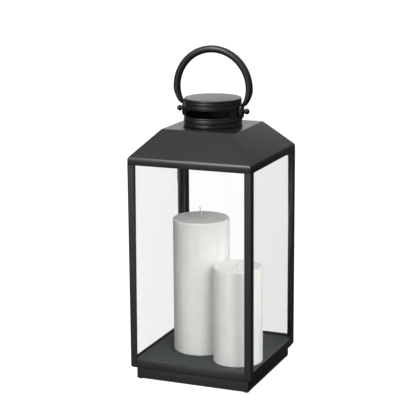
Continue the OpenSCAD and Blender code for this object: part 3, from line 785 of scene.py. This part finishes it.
# Each step: angle along the ring, how far the bar's middle moves in, and the bar's two half widths
STEPS = [
    (-8, 0.35, 4.7, 5.0), (-12, 0.85, 4.35, 5.0), (-16, 1.3, 4.0, 5.0), (-20, 1.85, 3.65, 4.9),
    (-23, 2.55, 3.35, 4.7), (-25.5, 3.3, 3.0, 4.2), (-27.5, 4.05, 2.15, 3.4), (-29, 4.8, 1.1, 2.4)
]
for side in (1, -1):
    rim(ring, lambda p: p.x * side > 0 and p.z < RING_Z)
    old = (-START, 0.0, BAR, BAR)
    for new in STEPS:
        here, there = (ring_point(side, step[0], RING_RADIUS - step[1]) for step in (old, new))
        outward, new_outward = (ring_point(side, step[0], 1) - Vector((0, 0, RING_Z)) for step in (old, new))
        bpy.ops.mesh.extrude_region_move(TRANSFORM_OT_translate={"value": (there - here) * MM})
        mesh = bmesh.from_edit_mesh(ring.data)
        for vertex in mesh.verts:
            if vertex.select:
                offset = vertex.co / MM - there
                radial, across = offset.dot(outward) / old[2] * new[2], offset.y / old[3] * new[3]
                vertex.co = (there + new_outward * radial + Vector((0, across, 0))) * MM
        bmesh.update_edit_mesh(ring.data)
        old = new
    bpy.ops.mesh.edge_face_add()
bpy.ops.mesh.select_all(action="SELECT")
bpy.ops.mesh.normals_make_consistent(inside=False)
done()

# %% Eyes of the handle
EYE_HALF_WIDTH, EYE_HALF_HEIGHT = 7.0, 10.3
for side in (1, -1):
    bpy.ops.object.select_all(action="DESELECT")
    bpy.ops.mesh.primitive_cylinder_add(
        vertices=64, radius=EYE_HALF_WIDTH * MM, depth=(EYE_OUT - EYE_IN) * MM,
        location=(side * (EYE_IN + EYE_OUT) / 2 * MM, 0, PIVOT_Z * MM), rotation=(0, math.pi / 2, 0)
    )
    eye = bpy.context.object
    bpy.ops.object.transform_apply(location=True, rotation=True, scale=True)
    edit(eye)
    straight = (EYE_HALF_HEIGHT - EYE_HALF_WIDTH) * MM
    pick(eye, "VERT", lambda p: p.z > PIVOT_Z + 0.01)
    bpy.ops.transform.translate(value=(0, 0, straight))
    pick(eye, "VERT", lambda p: p.z < PIVOT_Z - 0.01)
    bpy.ops.transform.translate(value=(0, 0, -straight))
    done()
    soften(eye, 0.7, 4, 40)
    cut(ring, eye, "UNION")
bore = lathe("bore", [(0, -60), (2.55, -60), (2.55, 60), (0, 60)], 48)
bore.rotation_euler = (0, math.pi / 2, 0)
bore.location = (0, 0, PIVOT_Z * MM)
begin(bore)
bpy.ops.object.transform_apply(location=True, rotation=True, scale=True)
cut(ring, bore)
smooth(ring, 40)
place(ring, "handle", "black_paint", black_paint, "ring_handle")


# %% [markdown]
# ## Pivot pins and washers
# Each pin is turned: a shank through the eye and the neck, a short neck and a ball head. It is turned
# upright on the lathe, then laid down along X.

# %% Pins
def lay_along_x(obj, side, height):
    """Turns an upright piece so that its top points to +X or -X."""
    obj.rotation_euler = (0, side * math.pi / 2, 0)
    obj.location = (0, 0, height * MM)
    begin(obj)
    bpy.ops.object.transform_apply(location=True, rotation=True, scale=True)


BALL, BALL_X = 4.0, 49.8
head = [
    (BALL * math.cos(math.radians(a)), BALL_X + BALL * math.sin(math.radians(a))) for a in range(-44, 90, 6)
]
shank_start = node_box("pivot_pin_right")[0].x
for side, label in ((1, "right"), (-1, "left")):
    pin = lathe(
        f"pin_{label}",
        [(0, shank_start), (2.2, shank_start), (2.5, shank_start + 0.3), (2.5, EYE_OUT + 0.1)]
        + [(3.4, EYE_OUT + 0.15)]
        + [(3.5, EYE_OUT + 0.4), (3.3, EYE_OUT + 0.9), (2.6, EYE_OUT + 1.5), (2.5, EYE_OUT + 2.2)]
        + head + [(0, BALL_X + BALL)],
        48
    )
    lay_along_x(pin, side, PIVOT_Z)
    smooth(pin, 50)
    place(pin, "lantern", "black_paint", black_paint, f"pivot_pin_{label}")

# %% [markdown]
# ## Panes
# Each pane is float glass with its sharp edges just taken off.

# %% Panes
for side, body, node in (
    ("front", "lantern", "glass_front"), ("left", "lantern", "glass_left"),
    ("right", "lantern", "glass_right"), ("door", "door", "door_glass")
):
    pane = block(f"pane_{side}", *node_box(node))
    soften(pane, 0.25, 2)
    place(pane, body, "clear_glass", clear_glass, node)

# %% [markdown]
# ## Candles
# Poured wax shrinks as it cools, so the top sinks a little towards the wick and the rim stays as a soft edge.


# %% Candles
def candle(name, node):
    """A pillar candle with a soft rim, a sunken top and a small mound of wax round the wick.

    It gives back the place where the wick comes out.
    """
    low, high = node_box(node)
    x, y = (low.x + high.x) / 2, (low.y + high.y) / 2
    radius = (high.x - low.x) / 2
    foot, edge = 1.2, 2.2
    profile = [(0, low.z)]
    profile += [
        (radius - foot + foot * math.sin(a), low.z + foot - foot * math.cos(a))
        for a in (math.radians(15 * i) for i in range(7))
    ]
    profile += [
        (radius - edge + edge * math.cos(a), high.z - edge + edge * math.sin(a))
        for a in (math.radians(15 * i) for i in range(7))
    ]
    sink = 0.9
    profile += [(radius - 4.5, high.z - 0.15), (radius - 7.5, high.z - 0.55), (radius - 12, high.z - sink)]
    profile += [(radius * 0.35, high.z - sink - 0.2), (4.0, high.z - sink), (2.4, high.z - sink + 0.5)]
    profile += [(1.4, high.z - sink + 1.3), (0, high.z - sink + 1.5)]
    piece = lathe(name, profile, 128, centre=(x, y))
    smooth(piece, 60)
    place(piece, name, "wax", wax, node)
    return Vector((x, y, high.z - sink))


tall_top = candle("tall_candle", "candle_tall")
small_top = candle("small_candle", "candle_small")


# %% Wicks
def wick(name, body, node, foot, spine):
    """A braided wick: a circle extruded along a spine of (lean, rise, radius) steps, thinner to its tip."""
    bpy.ops.object.select_all(action="DESELECT")
    at, width = foot + Vector((0, 0, -2)), 1.15
    bpy.ops.mesh.primitive_circle_add(vertices=20, radius=width * MM, location=at * MM, fill_type="NGON")
    piece = bpy.context.object
    piece.name = piece.data.name = name
    bpy.ops.object.transform_apply(location=True, rotation=True, scale=True)
    edit(piece)
    bpy.ops.mesh.select_all(action="SELECT")
    for lean, rise, next_width in spine:
        there = foot + Vector((lean, 0, rise))
        bpy.ops.mesh.extrude_region_move(TRANSFORM_OT_translate={"value": (there - at) * MM})
        bpy.ops.transform.resize(value=(next_width / width,) * 2 + (1,), center_override=there * MM)
        at, width = there, next_width
    bpy.ops.mesh.select_all(action="SELECT")
    bpy.ops.mesh.normals_make_consistent(inside=False)
    done()
    smooth(piece, 60)
    place(piece, body, "cotton", cotton, node)


wick(
    "wick_of_tall", "tall_candle", "wick_tall", tall_top,
    [
        (0, 1.5, 1.1), (-0.05, 4, 0.95), (-0.3, 7, 0.85), (-0.8, 10, 0.75), (-1.4, 13, 0.65),
        (-1.9, 15.6, 0.6), (-2.0, 16.2, 0.35)
    ]
)
wick(
    "wick_of_small", "small_candle", "wick_small", small_top,
    [(0, 1.5, 1.1), (0.05, 3, 1.0), (0.2, 4.8, 0.9), (0.5, 6.4, 0.8), (0.6, 7.0, 0.45)]
)

# %% [markdown]
# ## Door frame, hinges and small hardware
# These pieces have the right shape in the CAD model already. A copy of each node is merged into clean faces
# and its edges are rounded a little, so that they catch the light as painted metal does.


# %% Softened copies
def softened(node, name, body, width, segments=2):
    """A copy of a CAD node with clean faces and rounded edges, as a piece of its own."""
    source = frame["nodes"][node]
    copy = source.copy()
    copy.data = source.data.copy()
    copy.name = copy.data.name = name
    del copy["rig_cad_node"]
    copy.parent = None
    bpy.context.scene.collection.objects.link(copy)
    edit(copy)
    bpy.ops.mesh.select_all(action="SELECT")
    bpy.ops.mesh.remove_doubles(threshold=0.001 * MM)
    bpy.ops.mesh.dissolve_limited(angle_limit=math.radians(0.5))
    done()
    soften(copy, width, segments, 35)
    smooth(copy, 35)
    place(copy, body, "black_paint", black_paint, node)


for part in ("stile_hinge", "stile_latch", "rail_top", "rail_bottom"):
    softened(f"door_{part}", f"door_{part}_sheet", "door", 0.3)
softened("door_clips", "door_tabs", "door", 0.15)
softened("door_knob", "knob", "door", 0.15)
for level_name in ("upper", "lower"):
    softened(f"hinge_{level_name}_post_leaf", f"{level_name}_leaf_on_post", "lantern", 0.15)
    softened(f"hinge_{level_name}_door_leaf", f"{level_name}_leaf_on_door", "door", 0.15)
    softened(f"hinge_{level_name}_pin", f"{level_name}_hinge_pin", "lantern", 0.15)
softened("turn_button", "latch", "button", 0.3)
softened("glass_clips", "pane_clips", "lantern", 0.15)
softened("pivot_spacers", "washers", "lantern", 0.1)

# %% CAD nodes that stay
for node, material in (("felt_pads", felt), ("pivot_nuts", zinc), ("button_screw", zinc)):
    mesh = frame["nodes"][node].data
    mesh.materials.clear()
    mesh.materials.append(material)
kept = [n for n, o in frame["nodes"].items() if not o.hide_render]
print("CAD nodes shown:", kept)

# %% [markdown]
# ## Last step

# %% Finish
bpy.ops.object.select_all(action="DESELECT")
